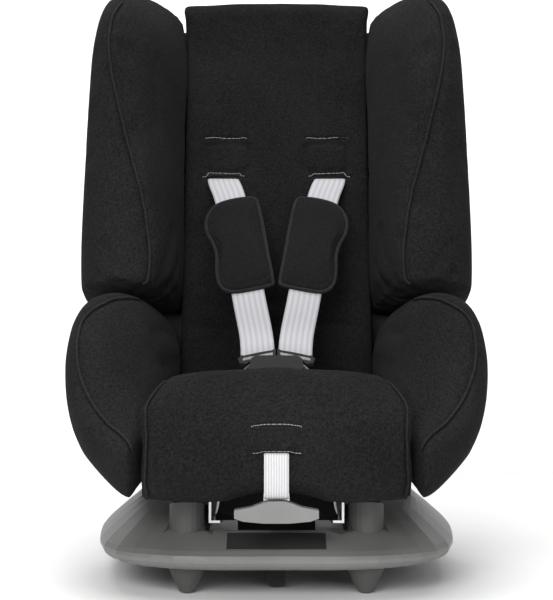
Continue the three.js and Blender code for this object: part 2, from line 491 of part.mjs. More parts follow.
const BUTTON = { half: 17, low: -22, high: -2, travel: 4 };
const blade = SIDES.map(([, s]) => box(s * 8.5 - 6.1, s * 8.5 + 6.1, -3.1, 3.1, 4.2, 30));
add(buckleFrame, "buckle_body", darkPlastic, blade.reduce((m, b) => m.subtract(b),
  roundedPlate(-29, 29, -13, 13, -30, 22, 9))
  .subtract(box(-BUTTON.half - GAP, BUTTON.half + GAP, -20, -4, BUTTON.low - GAP, BUTTON.high + GAP))
  .subtract(box(-20, 20, -1.6, 1.6, -40, -24)));
add(buckleFrame, "buckle_button", redPlastic,
  roundedPlate(-BUTTON.half, BUTTON.half, -15.5, -8.6, BUTTON.low, BUTTON.high, 3));
add(seat, "crotch_strap", webbing, webbingAlong([[0, CROTCH_Y, 121.8], [0, CROTCH_Y, 182], [0, CROTCH_Y + 1, 187],
  [0, CROTCH_Y + 4.5, 191.5], inBuckle(0, 0, -36), inBuckle(0, 0, -26)], WEB_WIDE, WEB_THICK, ALONG_X));
add(seat, "crotch_anchor", steel, box(-28, 28, CROTCH_Y - 9, CROTCH_Y + 9, 122.4, PAN_Z - GAP)
  .subtract(box(-20, 20, CROTCH_Y - 2, CROTCH_Y + 2, 110, 130)));
add(back, "harness_yoke", steel, roundedPlate(-50, 50, YOKE.y - 1.5, YOKE.y + 1.5, YOKE.low, YOKE.high, 8)
  .subtract(box(-13.5, 13.5, 40, 60, YOKE.low + 6, YOKE.low + 10)));

// ---------- strap adjuster ----------
const STRAP_FRONT = SEAT_FRONT - 2.2;
add(seat, "rear_strap", webbing, webbingAlong([inBack(0, YOKE.y, YOKE.low - 2), inBack(0, YOKE.y, 20),
  inBack(0, YOKE.y, -30), [0, 71, 124], [0, 62, 119.6], [0, -190, 119.6], [0, -199, 121], [0, -202, 126],
  [0, -202, 140]], WEB_NARROW, WEB_THICK, ALONG_X));
add(seat, "adjuster_strap", webbing, webbingAlong([[0, -198, SLITS[0]], [0, SEAT_FRONT, SLITS[0] - 0.2],
  [0, STRAP_FRONT, SLITS[0] - 3], [0, STRAP_FRONT, 132], [0, STRAP_FRONT + 2.2, 118], [0, STRAP_FRONT + 6.5, 108]],
WEB_NARROW, WEB_THICK, ALONG_X));
add(seat, "adjuster_body", steel, box(-20, 20, -213, -190, 131.4, 160)
  .subtract(box(-16, 16, -220, -193, 131, 170)).add(box(-20, 20, -193, -190, 131.4, 160))
  .add(box(-17, 17, -209, -206, 131.4, 134.5)));
add(seat, "adjuster_lever", darkPlastic, box(-15, 15, -212, -196, 156, 158.6)
  .add(solid(new THREE.CylinderGeometry(1.6, 1.6, 31, 12).rotateZ(Math.PI / 2).translate(0, -196, 157))));

// ---------- recline gear under the pan ----------
const HANDLE = { half: 42.5, front: -243, travel: 14 };
const paddle = frontPlate([[-42.5, 89], [-34, 86], [-13, 84], [13, 84], [34, 86], [42.5, 89], [42.5, 97], [26, 100],
  [14, 104.5], [9, 106], [-9, 106], [-14, 104.5], [-26, 100], [-42.5, 97]], HANDLE.front, -229);
add(seat, "recline_handle", lightPlastic, paddle, box(-12, 12, -230, -196, 88, 97));
add(seat, "pull_rod", steel, box(-8, 8, -212, -38, 98, 101)
  .subtract(box(-5, 5, BOLT_Y - 5, BOLT_Y + 19, 90, 110)));
add(seat, "lock_bolt", steel, box(-4.5, 4.5, BOLT_Y - 4, BOLT_Y + 4, 79.4, 106), box(-13, 13, BOLT_Y - 4, BOLT_Y + 4, 105, 109));
add(seat, "bolt_housing", darkPlastic, box(-20, 20, BOLT_Y - 14, BOLT_Y + 14, 121.6, PAN_Z - GAP)
  .add(box(14, 20, BOLT_Y - 14, BOLT_Y + 14, 94, 122)).add(box(-20, -14, BOLT_Y - 14, BOLT_Y + 14, 94, 122)));

const underArc = (r, y0, y1, x0, x1) => sidePlate([...Array.from({ length: 11 }, (_, i) =>
  arcPoint(r, y0 + ((y1 - y0) * i) / 10)), [y1, PAN_Z - GAP], [y0, PAN_Z - GAP]], x0, x1);
const runner = underArc(RAIL_TOP_R - 1, -148, 64, 80, 110)
  .subtract(box(84, 120, LAP.y - 30, LAP.y + 30, 121, 130));
const hookRail = underArc(FOOT_R, -150, 64, 69.5, 69.5 + STEEL)
  .add(arcStrip(FOOT_R - STEEL, FOOT_R, -150, 64, 60, 71));
for (const [side, s] of SIDES) {
  add(seat, `runner_${side}`, darkPlastic, onSide(runner, s));
  add(seat, `hook_rail_${side}`, steel, onSide(hookRail, s));
}

// ---------- belt lock-offs on the shell's rear corners ----------
const LOCKOFF = { y: 66, x: SHELL_HALF + 3, low: 222, high: 272 };
const lockoff = box(LOCKOFF.x - 2, LOCKOFF.x + 3, LOCKOFF.y, LOCKOFF.y + 34, LOCKOFF.low, LOCKOFF.high)
  .add(solid(new THREE.CylinderGeometry(2.5, 2.5, LOCKOFF.high - LOCKOFF.low, 16).rotateX(Math.PI / 2)
    .translate(LOCKOFF.x, LOCKOFF.y, (LOCKOFF.low + LOCKOFF.high) / 2)));
for (const [side, s] of SIDES) add(seat, `belt_lockoff_${side}`, redPlastic, onSide(lockoff, s));

export default seat;
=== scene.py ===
"""A convertible child car seat: covers, padding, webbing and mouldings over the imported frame."""
import math

import bpy
import bmesh
import numpy as np
from mathutils import Matrix, Vector, kdtree
from mathutils.bvhtree import BVHTree


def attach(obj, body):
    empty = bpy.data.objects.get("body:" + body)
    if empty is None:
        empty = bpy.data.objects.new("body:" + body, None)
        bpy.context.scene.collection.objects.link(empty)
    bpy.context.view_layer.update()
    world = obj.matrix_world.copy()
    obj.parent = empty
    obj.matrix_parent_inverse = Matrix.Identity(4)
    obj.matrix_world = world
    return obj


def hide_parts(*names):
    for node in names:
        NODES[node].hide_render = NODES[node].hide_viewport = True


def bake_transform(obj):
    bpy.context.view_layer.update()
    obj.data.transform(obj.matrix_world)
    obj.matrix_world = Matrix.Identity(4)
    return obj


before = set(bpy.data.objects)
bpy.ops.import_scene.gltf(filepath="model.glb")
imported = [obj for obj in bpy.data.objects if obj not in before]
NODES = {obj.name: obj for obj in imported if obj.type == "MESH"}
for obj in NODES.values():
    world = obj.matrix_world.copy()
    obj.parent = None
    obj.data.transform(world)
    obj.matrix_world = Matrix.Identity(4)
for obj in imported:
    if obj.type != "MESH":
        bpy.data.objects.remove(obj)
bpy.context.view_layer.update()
scene = bpy.context.scene
MM = 0.001

# ---------- camera, light and floor ----------
camera = bpy.data.objects.new("camera", bpy.data.cameras.new("camera"))
camera.data.lens = 90
camera.data.sensor_width = 36
camera.data.clip_end = 40
camera.location = (0, -1.745, 0.308)
camera.rotation_euler = (math.pi / 2, 0, 0)
scene.collection.objects.link(camera)
scene.camera = camera


def area_light(name, place, aim, size, power):
    light = bpy.data.objects.new(name, bpy.data.lights.new(name, "AREA"))
    light.data.shape = "RECTANGLE"
    light.data.size, light.data.size_y = size
    light.data.energy = power
    light.location = place
    light.rotation_euler = (Vector(aim) - Vector(place)).to_track_quat("-Z", "Y").to_euler()
    scene.collection.objects.link(light)


area_light("key", (-0.7, -2.5, 1.25), (0, 0, 0.35), (1.3, 1.0), 52)
area_light("fill", (0.9, -2.6, 0.7), (0, 0, 0.3), (1.2, 1.0), 16)
area_light("top", (-0.1, -0.1, 2.4), (0, 0, 0.3), (2.0, 1.6), 64)
area_light("backdrop", (0, 1.2, 1.6), (0, 3.6, 1.2), (3.0, 1.5), 60)
world = bpy.data.worlds.new("studio")
world.use_nodes = True
world.node_tree.nodes["Background"].inputs["Color"].default_value = (1, 1, 1, 1)
world.node_tree.nodes["Background"].inputs["Strength"].default_value = 0.26
scene.world = world
scene.view_settings.view_transform = "Standard"


# ---------- materials ----------
class Shader:
    """A small builder for one procedural material."""

    def __init__(self, name, roughness, metallic=0.0, **uniform):
        self.material = bpy.data.materials.new(name)
        self.material.use_nodes = True
        self.tree = self.material.node_tree
        self.surface = self.tree.nodes["Principled BSDF"]
        self.surface.inputs["Roughness"].default_value = roughness
        self.surface.inputs["Metallic"].default_value = metallic
        for socket, value in uniform.items():
            self.surface.inputs[socket.replace("_", " ")].default_value = value
        self.place = self.node("ShaderNodeTexCoord").outputs["Object"]

    def node(self, kind, **fields):
        made = self.tree.nodes.new(kind)
        for key, value in fields.items():
            setattr(made, key, value)
        return made

    def link(self, source, target):
        self.tree.links.new(source, target)

    def attribute(self, name):
        self.place = self.node("ShaderNodeAttribute", attribute_name=name).outputs["Vector"]

    def stretched(self, scale):
        mapping = self.node("ShaderNodeMapping")
        mapping.inputs["Scale"].default_value = scale
        self.link(self.place, mapping.inputs["Vector"])
        return mapping.outputs["Vector"]

    def noise(self, scale, detail=2.0, stretch=None):
        made = self.node("ShaderNodeTexNoise")
        made.inputs["Scale"].default_value = scale
        made.inputs["Detail"].default_value = detail
        self.link(self.stretched(stretch) if stretch else self.place, made.inputs["Vector"])
        return made.outputs["Fac"]

    def cells(self, scale, stretch=None):
        made = self.node("ShaderNodeTexVoronoi")
        made.inputs["Scale"].default_value = scale
        self.link(self.stretched(stretch) if stretch else self.place, made.inputs["Vector"])
        return made.outputs["Distance"]

    def wave(self, scale, axis="X", stretch=None):
        made = self.node("ShaderNodeTexWave", bands_direction=axis)
        made.inputs["Scale"].default_value = scale
        self.link(self.stretched(stretch) if stretch else self.place, made.inputs["Vector"])
        return made.outputs["Fac"]

    def math(self, operation, a, b):
        made = self.node("ShaderNodeMath", operation=operation)
        for socket, value in zip(made.inputs, (a, b)):
            if isinstance(value, (int, float)):
                socket.default_value = value
            else:
                self.link(value, socket)
        return made.outputs[0]

    def colour(self, factor, *stops):
        ramp = self.node("ShaderNodeValToRGB")
        while len(ramp.color_ramp.elements) < len(stops):
            ramp.color_ramp.elements.new(0.5)
        for element, (at, rgb) in zip(ramp.color_ramp.elements, stops):
            element.position = at
            element.color = (*rgb, 1)
        self.link(factor, ramp.inputs["Fac"])
        self.link(ramp.outputs["Color"], self.surface.inputs["Base Color"])
        return self

    def rough(self, factor, low, high):
        span = self.node("ShaderNodeMapRange")
        span.inputs["To Min"].default_value = low
        span.inputs["To Max"].default_value = high
        self.link(factor, span.inputs["Value"])
        self.link(span.outputs["Result"], self.surface.inputs["Roughness"])
        return self

    def bump(self, height, depth, strength=1.0):
        made = self.node("ShaderNodeBump")
        made.inputs["Distance"].default_value = depth
        made.inputs["Strength"].default_value = strength
        self.link(height, made.inputs["Height"])
        self.link(made.outputs["Normal"], self.surface.inputs["Normal"])
        return self


def grey(value, tint=0.0):
    return (value, value, value * (1 + tint))


def knit(name, dark, light, grain, sheen):
    """A fine knitted cover: tiny loops, a heathered speckle and slow shade changes."""
    s = Shader(name, 0.92, Sheen_Weight=sheen, Sheen_Roughness=0.5, Specular_IOR_Level=0.05)
    loops = s.cells(grain)
    speckle = s.noise(grain * 0.55, 3)
    drift = s.noise(9, 2)
    mix = s.math("ADD", s.math("MULTIPLY", speckle, 0.7), s.math("MULTIPLY", drift, 0.3))
    middle = (dark + light) / 2
    s.colour(mix, (0.36, grey(dark, 0.03)), (0.52, grey(middle, 0.03)), (0.66, grey(light, 0.04)))
    s.bump(s.math("ADD", loops, s.math("MULTIPLY", speckle, 0.8)), 0.0007, 0.75)
    return s.material


def moulded(name, dark, light, roughness, tint=0.0, grain=900, gloss=0.42):
    """Textured moulded plastic with a soft satin grain."""
    s = Shader(name, roughness, Specular_IOR_Level=gloss)
    fine = s.noise(grain, 3)
    slow = s.noise(14, 3)
    s.colour(s.math("ADD", s.math("MULTIPLY", fine, 0.4), s.math("MULTIPLY", slow, 0.6)),
             (0.35, grey(dark, tint)), (0.65, grey(light, tint)))
    s.rough(slow, roughness - 0.06, roughness + 0.08)
    s.bump(fine, 0.00025, 0.6)
    return s.material


def tinted(name, dark, light, roughness):
    s = Shader(name, roughness)
    slow = s.noise(20, 3)
    s.colour(slow, (0.35, dark), (0.65, light))
    s.rough(slow, roughness - 0.05, roughness + 0.06)
    s.bump(s.noise(700, 2), 0.0002, 0.5)
    return s.material


def plated(name):
    s = Shader(name, 0.3, 1.0)
    scratch = s.noise(60, 4, (1, 12, 1))
    s.colour(s.noise(25, 3), (0.35, (0.5, 0.5, 0.52)), (0.65, (0.68, 0.68, 0.7)))
    s.rough(scratch, 0.24, 0.42)
    s.bump(scratch, 0.0001, 0.4)
    return s.material


def woven(name, dark, light, ribs):
    """Webbing: lengthwise ribs crossed by a fine twill, laid out along the strap."""
    s = Shader(name, 0.7, Sheen_Weight=0.25, Sheen_Roughness=0.4)
    s.attribute("weave")
    rib = s.wave(1.0, "X", (ribs, 1, 1))
    twill = s.wave(1.0, "DIAGONAL", (0.3, 0.3, 1))
    thread = s.noise(0.9, 2, (2.6, 0.5, 1))
    fine = s.math("MULTIPLY", s.math("ADD", twill, thread), 0.15)
    mix = s.math("ADD", s.math("MULTIPLY", rib, 0.7), fine)
    s.colour(mix, (0.2, dark), (0.75, light))
    s.bump(s.math("ADD", rib, s.math("MULTIPLY", twill, 0.35)), 0.0004, 0.6)
    return s.material


def foamed(name):
    s = Shader(name, 0.95)
    pore = s.cells(420)
    s.colour(s.noise(40, 3), (0.35, (0.16, 0.16, 0.17)), (0.65, (0.24, 0.24, 0.25)))
    s.bump(pore, 0.001, 0.8)
    return s.material


COVER = knit("cover_knit", 0.006, 0.0165, 700, 0.01)
PANEL = knit("panel_knit", 0.004, 0.0125, 800, 0.008)
PAD = knit("pad_knit", 0.005, 0.0115, 900, 0.01)
BINDING = knit("binding", 0.009, 0.024, 1100, 0.02)
STITCH = tinted("stitch_thread", (0.2, 0.2, 0.2), (0.3, 0.3, 0.3), 0.8)
SHELL = moulded("shell_plastic", 0.011, 0.016, 0.66, 0, 900, 0.2)
INNER = moulded("inner_plastic", 0.008, 0.012, 0.85, 0, 900, 0.04)
DARK = moulded("dark_plastic", 0.02, 0.03, 0.45)
BASE_GREY = moulded("base_plastic", 0.125, 0.16, 0.4, -0.03)
# The feet's own darker grey plastic, also used as painted shade on the posts under the seat.
FOOT_GREY_AND_POST_SHADE = moulded("foot_plastic_and_post_shade", 0.055, 0.075, 0.55, -0.03)
BASE_DARK = moulded("insert_plastic", 0.026, 0.036, 0.5)
HANDLE_GREY = moulded("handle_plastic", 0.15, 0.19, 0.42, -0.02, 1200)
RED = tinted("red_plastic", (0.42, 0.01, 0.012), (0.5, 0.016, 0.016), 0.38)
BUCKLE = moulded("buckle_plastic", 0.01, 0.016, 0.62, 0, 900, 0.1)
STEEL = plated("plated_steel")
RUBBER = moulded("rubber", 0.012, 0.018, 0.8)
FOAM = foamed("foam")
WEBBING = woven("harness_webbing", (0.27, 0.27, 0.285), (0.335, 0.335, 0.355), 0.05)
ADJUSTER_WEBBING = woven("adjuster_webbing", (0.42, 0.42, 0.43), (0.58, 0.58, 0.59), 0.12)
PALE = Shader("studio_floor", 0.7)
PALE.colour(PALE.noise(3), (0.3, (0.86, 0.86, 0.86)), (0.7, (0.88, 0.88, 0.88)))


def studio_floor():
    """A pale floor that curves up into a wall behind."""
    flat_to, bend = 2.2, 1.4
    profile = [(-6, 0), (flat_to, 0)]
    profile += [(flat_to + bend * math.sin(a), bend - bend * math.cos(a))
                for a in np.linspace(0.1, math.pi / 2, 16)]
    profile.append((flat_to + bend, 6))
    points = [(x, y, z) for y, z in profile for x in (-7, 7)]
    faces = [(2 * i, 2 * i + 1, 2 * i + 3, 2 * i + 2) for i in range(len(profile) - 1)]
    mesh = bpy.data.meshes.new("studio_floor")
    mesh.from_pydata(points, [], faces)
    floor = bpy.data.objects.new("studio_floor", mesh)
    mesh.materials.append(PALE.material)
    mesh.shade_smooth()
    scene.collection.objects.link(floor)


studio_floor()


# ---------- frames shared with the model, in millimetres ----------
def tilted(origin, lean):
    """Coordinates in a frame that leans back by an angle about the X axis."""
    c, s = math.cos(lean), math.sin(lean)

    def place(x, y, z):
        return Vector((x, origin[0] + y * c + z * s, origin[1] - y * s + z * c)) * MM

    return place


BACK_FOOT, BACK_LEAN = (30, 185), math.radians(15.5)
in_back = tilted(BACK_FOOT, BACK_LEAN)
in_buckle = tilted((-90, 222), math.radians(45))
SIDES = (("right", 1), ("left", -1))


def mirror_point(p, side):
    return Vector((p[0] * side, p[1], p[2]))


# ---------- mesh helpers ----------
def add_object(name, mesh, *materials):
    obj = bpy.data.objects.new(name, mesh)
    scene.collection.objects.link(obj)
    if mesh.materials:
        mesh.materials.clear()
    for material in materials:
        mesh.materials.append(material)
    mesh.shade_smooth()
    return obj


def read(mesh):
    flat = np.empty(len(mesh.vertices) * 3, dtype=np.float32)
    mesh.vertices.foreach_get("co", flat)
    return flat.reshape(-1, 3).astype(np.float64)


def write(mesh, points):
    mesh.vertices.foreach_set("co", points.astype(np.float32).ravel())
    mesh.update()


def normals(mesh):
    flat = np.empty(len(mesh.vertices) * 3, dtype=np.float32)
    mesh.vertex_normals.foreach_get("vector", flat)
    return flat.reshape(-1, 3).astype(np.float64)


def baked(obj):
    """The object's mesh with its modifiers applied, and the modifiers taken off."""
    graph = bpy.context.evaluated_depsgraph_get()
    mesh = bpy.data.meshes.new_from_object(obj.evaluated_get(graph))
    obj.modifiers.clear()
    old = obj.data
    obj.data = mesh
    bpy.data.meshes.remove(old)
    return obj


def relax(obj, rounds):
    """Evens out the surface, with alternate steps in and out so that it does not shrink."""
    mesh = obj.data
    ends = np.empty(len(mesh.edges) * 2, dtype=np.int32)
    mesh.edges.foreach_get("vertices", ends)
    a, b = ends.reshape(-1, 2).T
    n = len(mesh.vertices)
    degree = np.bincount(a, minlength=n) + np.bincount(b, minlength=n)
    points = read(mesh)
    for i in range(rounds):
        step = 0.5 if i % 2 == 0 else -0.47
        total = np.stack([np.bincount(a, points[b, k], n) + np.bincount(b, points[a, k], n)
                          for k in range(3)], 1)
        points += step * (total / degree[:, None] - points)
    write(mesh, points)


def remeshed(obj, voxel, material):
    """An even mesh of small faces in place of the object's own, in one material."""
    grid = obj.modifiers.new("grid", "REMESH")
    grid.mode = "VOXEL"
    grid.voxel_size = voxel * MM
    baked(obj)
    obj.data.materials.clear()
    obj.data.materials.append(material)
    obj.data.shade_smooth()
    return obj


def soft_copy(name, node, voxel, material):
    """A fine even mesh in the place of a packed soft solid."""
    copied = bmesh.new()
    copied.from_mesh(NODES[node].data)
    mesh = bpy.data.meshes.new(name)
    copied.to_mesh(mesh)
    copied.free()
    return remeshed(add_object(name, mesh, material), voxel, material)


def swell(obj, pressure, cap, shrink=0.0):
    """Fills the closed form like a stuffed cover: cloth under pressure, with its travel capped."""
    mesh = obj.data
    start = read(mesh)
    start -= normals(mesh) * shrink * MM
    write(mesh, start)
    cloth = obj.modifiers.new("cloth", "CLOTH")
    cloth.settings.quality = 5
    cloth.settings.use_pressure = True
    cloth.settings.uniform_pressure_force = pressure
    cloth.settings.effector_weights.gravity = 0
    cloth.settings.tension_stiffness = 20
    cloth.settings.compression_stiffness = 20
    cloth.settings.bending_stiffness = 2
    cloth.point_cache.frame_start = 1
    cloth.point_cache.frame_end = 20
    for f in range(1, 21):
        scene.frame_set(f)
    graph = bpy.context.evaluated_depsgraph_get()
    moved = read(obj.evaluated_get(graph).to_mesh()) - start
    obj.modifiers.clear()
    scene.frame_set(1)
    length = np.linalg.norm(moved, axis=1)[:, None]
    limit = cap * MM
    moved *= limit * np.tanh(length / limit) / np.maximum(length, 1e-9)
    write(mesh, start + moved)


def finer(obj):
    more = obj.modifiers.new("finer", "SUBSURF")
    more.levels = 1
    more.render_levels = 1
    baked(obj)
    obj.data.shade_smooth()
    return obj


def spline(a, b, c, d, t):
    """The Catmull-Rom curve between b and c."""
    return 0.5 * (2 * b + (c - a) * t + (2 * a - 5 * b + 4 * c - d) * t * t
                  + (3 * b - a - 3 * c + d) * t ** 3)


def curve_points(keys, step=2.0):
    """A smooth line through key points in metres, sampled every few millimetres."""
    keys = [Vector(k) for k in keys]
    padded = [keys[0] * 2 - keys[1], *keys, keys[-1] * 2 - keys[-2]]
    out = []
    for a, b, c, d in zip(padded, padded[1:], padded[2:], padded[3:]):
        count = max(2, int((c - b).length / (step * MM)))
        out += [spline(a, b, c, d, i / count) for i in range(count)]
    out.append(keys[-1])
    return out


def carve(obj, path, depth, width, fading=False):
    """Presses a line into the surface, of the full depth throughout or fading out at both ends."""
    tree = kdtree.KDTree(len(path))
    for i, p in enumerate(path):
        tree.insert(p, i)
    tree.balance()
    points = read(obj.data)
    push = normals(obj.data)
    low, high = np.min(path, axis=0) - 4 * width * MM, np.max(path, axis=0) + 4 * width * MM
    near = np.nonzero(np.all((points > low) & (points < high), axis=1))[0]
    last = len(path) - 1
    run_out = 0.12 * last + 1e-6
    for i in near:
        _, index, d = tree.find(points[i])
        ends = min(1.0, index / run_out, (last - index) / run_out) if fading else 1.0
        points[i] -= push[i] * depth * MM * ends * math.exp(-((d / (width * MM)) ** 2))
    write(obj.data, points)


def tree_of(obj):
    mesh = obj.data
    return BVHTree.FromPolygons([v.co for v in mesh.vertices], [p.vertices[:] for p in mesh.polygons])


def snapped(tree, path, lift=0.0):
    out = []
    for p in path:
        spot, normal, _, _ = tree.find_nearest(p)
        out.append(spot + normal * lift * MM)
    for _ in range(3):
        out = [out[0], *[(a + 2 * b + c) / 4 for a, b, c in zip(out, out[1:], out[2:])], out[-1]]
    return out


def tube(name, path, radius, material, closed=False, sides=8):
    """A round cord or sewn edge along a path, with closed ends."""
    rings = len(path)
    verts, faces = [], []
    up = Vector((0.3, -0.5, 0.8)).normalized()
    for i, p in enumerate(path):
        before = path[(i - 1) % rings] if closed or i else p
        after = path[(i + 1) % rings] if closed or i < rings - 1 else p
        way = (Vector(after) - Vector(before)).normalized()
        side = way.cross(up).normalized()
        up = side.cross(way).normalized()
        taper = 1.0 if closed else min(1.0, 0.35 + 0.65 * min(i, rings - 1 - i) / 2)
        for k in range(sides):
            a = 2 * math.pi * k / sides
            verts.append(Vector(p) + (side * math.cos(a) + up * math.sin(a)) * radius * MM * taper)
    for i in range(rings if closed else rings - 1):
        j = (i + 1) % rings
        for k in range(sides):
            m = (k + 1) % sides
            faces.append((i * sides + k, i * sides + m, j * sides + m, j * sides + k))
    if not closed:
        faces.append(tuple(reversed(range(sides))))
        faces.append(tuple((rings - 1) * sides + k for k in range(sides)))
    mesh = bpy.data.meshes.new(name)
    mesh.from_pydata([v[:] for v in verts], [], faces)
    return add_object(name, mesh, material)


def joined(name, objects):
    """Several objects made into one piece."""
    merged = bmesh.new()
    materials = []
    for obj in objects:
        for m in obj.data.materials:
            if m not in materials:
                materials.append(m)
        before = len(merged.faces)
        merged.from_mesh(obj.data)
        merged.faces.ensure_lookup_table()
        for face in merged.faces[before:]:
            face.material_index = materials.index(obj.data.materials[face.material_index])
    mesh = bpy.data.meshes.new(name)
    merged.to_mesh(mesh)
    merged.free()
    for obj in objects:
        bpy.data.objects.remove(obj)
    return add_object(name, mesh, *materials)


# ---------- covers and padding ----------
def cover(name, node, voxel, material, pressure=4.0, cap=6.0, shrink=2.0, rounds=10):
    obj = soft_copy(name, node, voxel, material)
    relax(obj, rounds)
    swell(obj, pressure, cap, shrink)
    finer(obj)
    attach(obj, "seat")
    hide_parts(node)
    return obj


back_cover = cover("back_cover", "back_cushion", 5, PANEL, cap=4, shrink=0.8)
seat_cover = cover("seat_cover", "seat_cushion", 5, COVER, cap=6, shrink=1.6)
wings = {side: cover(f"wing_cover_{side}", f"wing_cushion_{side}", 5, COVER, cap=6, shrink=0.8)
         for side, _ in SIDES}
arms = {side: cover(f"arm_cover_{side}", f"arm_cushion_{side}", 5, COVER, cap=6, shrink=0.8)
        for side, _ in SIDES}


def flow_to_wings(obj):
    """The panel's long edges turn forward to meet the head wings, so that one cover runs into the next."""
    panel_half, turn_from, turn_width, forward = 0.1195, 0.078, 0.038, 0.011
    points = read(obj.data)
    reach = np.abs(points[:, 0])
    share = np.clip((reach - turn_from) / turn_width, 0, 1) ** 2
    up_y, up_z = points[:, 1] - BACK_FOOT[0] * MM, points[:, 2] - BACK_FOOT[1] * MM
    behind = up_y * math.cos(BACK_LEAN) - up_z * math.sin(BACK_LEAN)
    front = np.clip((0.026 - behind) / 0.02, 0, 1)
    points[:, 0] *= 1 + (panel_half / reach.max() - 1) * share
    points[:, 1] -= forward * share * front
    write(obj.data, points)


flow_to_wings(back_cover)


def hang_hem(obj):
    """The hem under the front roll hangs in a shallow curve beside the recline handle."""
    x, y, z = read(obj.data).T / MM
    reach = (0, 18, 30, 43, 50, 70, 90, 110, 124)
    drop = (0, 0, 2, 6, 8.5, 8.5, 6.5, 2.5, 0)
    low = np.clip((138 - z) / 30, 0, 1) * np.clip((-200 - y) / 12, 0, 1)
    z -= np.interp(np.abs(x), reach, drop) * low
    # The pull webbing lies in a shallow channel below its slot.
    channel = -240.2 - 6 * np.clip((np.abs(x) - 15) / 12, 0, 1)
    y = np.where(z < 158, np.maximum(y, channel), y)
    points = np.stack([x, y, z], 1) * MM
    write(obj.data, points)


hang_hem(seat_cover)


# ---------- seams, piping and creases on the covers ----------
def points_mm(rows, side=1):
    return [Vector((x * side, y, z)) * MM for x, y, z in rows]


def piping(name, host, rows, side=1, radius=1.5, lift=0.4, material=BINDING):
    """A corded seam: a pressed line with a thin covered cord lying in it."""
    path = snapped(tree_of(host), curve_points(points_mm(rows, side)), lift)
    carve(host, path, 2.2, 4.5)
    cord = tube(name, path, radius, material)
    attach(cord, "seat")
    return cord


def crease(host, rows, depth, width, side=1):
    carve(host, snapped(tree_of(host), curve_points(points_mm(rows, side), 3)), depth, width, fading=True)


WING_EDGE = [(181, 44, 669), (188, 31, 656), (193, 19, 643), (196, 11, 626), (196, 4, 604),
             (193, -3, 582), (182, -9, 538), (171, -10, 495), (162, -12, 455), (155, -13, 425),
             (147, -21, 371), (146, -33, 332), (148, -42, 306)]
ARM_EDGE = [(150, -38, 317), (164, -56, 314), (180, -74, 311), (191, -88, 305), (206, -103, 295),
            (213, -113, 283), (215, -127, 269), (214, -140, 252), (209, -158, 232), (196, -178, 208),
            (175, -200, 185), (157, -216, 172), (147, -222, 155)]
SEAT_EDGE = [(112, -160, 224), (122, -182, 228), (129, -204, 220), (133, -222, 203), (135, -233, 182),
             (136, -236, 160), (136, -236, 140), (134, -233, 120), (130, -229, 108)]
for side, s in SIDES:
    wing, arm = wings[side], arms[side]
    # Folds where the head wing's cover is pulled round its lower corner.
    crease(wing, [(205, -30, 380), (185, -40, 350), (165, -42, 332)], 2.2, 7, s)
    crease(wing, [(212, -35, 345), (190, -45, 322), (168, -48, 312)], 2.6, 6, s)
    crease(wing, [(200, 0, 560), (205, -8, 500), (208, -12, 440)], 1.2, 9, s)
    crease(wing, [(136, 60, 610), (140, 40, 560), (138, 30, 500)], 1.4, 9, s)
    crease(wing, [(125, 40, 400), (135, 12, 360), (143, -16, 330)], 1.8, 8, s)
    crease(wing, [(122, 50, 360), (131, 20, 332), (140, -8, 312)], 1.8, 6, s)
    piping(f"wing_piping_{side}", wing, WING_EDGE, s)
    # Folds inside the elbow, and over the front of the arm.
    crease(arm, [(124, 20, 262), (138, -20, 268), (152, -60, 262)], 1.8, 9, s)
    crease(arm, [(124, 30, 236), (134, -20, 236), (146, -70, 226)], 1.4, 9, s)
    crease(arm, [(222, -40, 296), (226, -60, 270), (222, -90, 236)], 1.4, 9, s)
    piping(f"arm_piping_{side}", arm, ARM_EDGE, s)
    piping(f"seat_piping_{side}", seat_cover, SEAT_EDGE, s, 1.3)

crease(back_cover, [(x, 60, 274 + 3 * math.sin(x / 30)) for x in range(-108, 109, 12)], 2.8, 6)
crease(back_cover, [(x, 66, 300 + 4 * math.sin(x / 26 + 1)) for x in range(-100, 20, 12)], 1.0, 8)
# Upright folds below the top of the panel: x, top, low end and depth of each.
TOP_FOLDS = [(-84, 668, 600, 1.5), (-50, 672, 622, 1.1), (-12, 674, 610, 1.3), (30, 674, 628, 1.0),
             (62, 670, 604, 1.4), (92, 666, 585, 1.3)]
for x, top, low, depth in TOP_FOLDS:
    crease(back_cover, [(x, 150, top), (x + 4, 140, (top + low) / 2), (x - 2, 130, low)], depth, 6)
crease(seat_cover, [(-96, -204, 226), (-60, -222, 214), (-40, -232, 200)], 1.2, 9)
crease(seat_cover, [(100, -206, 224), (66, -224, 212), (44, -233, 198)], 1.2, 9)
crease(seat_cover, [(x, -236, 128 + 0.012 * x * x / 4) for x in range(-120, 121, 15)], 1.2, 8)


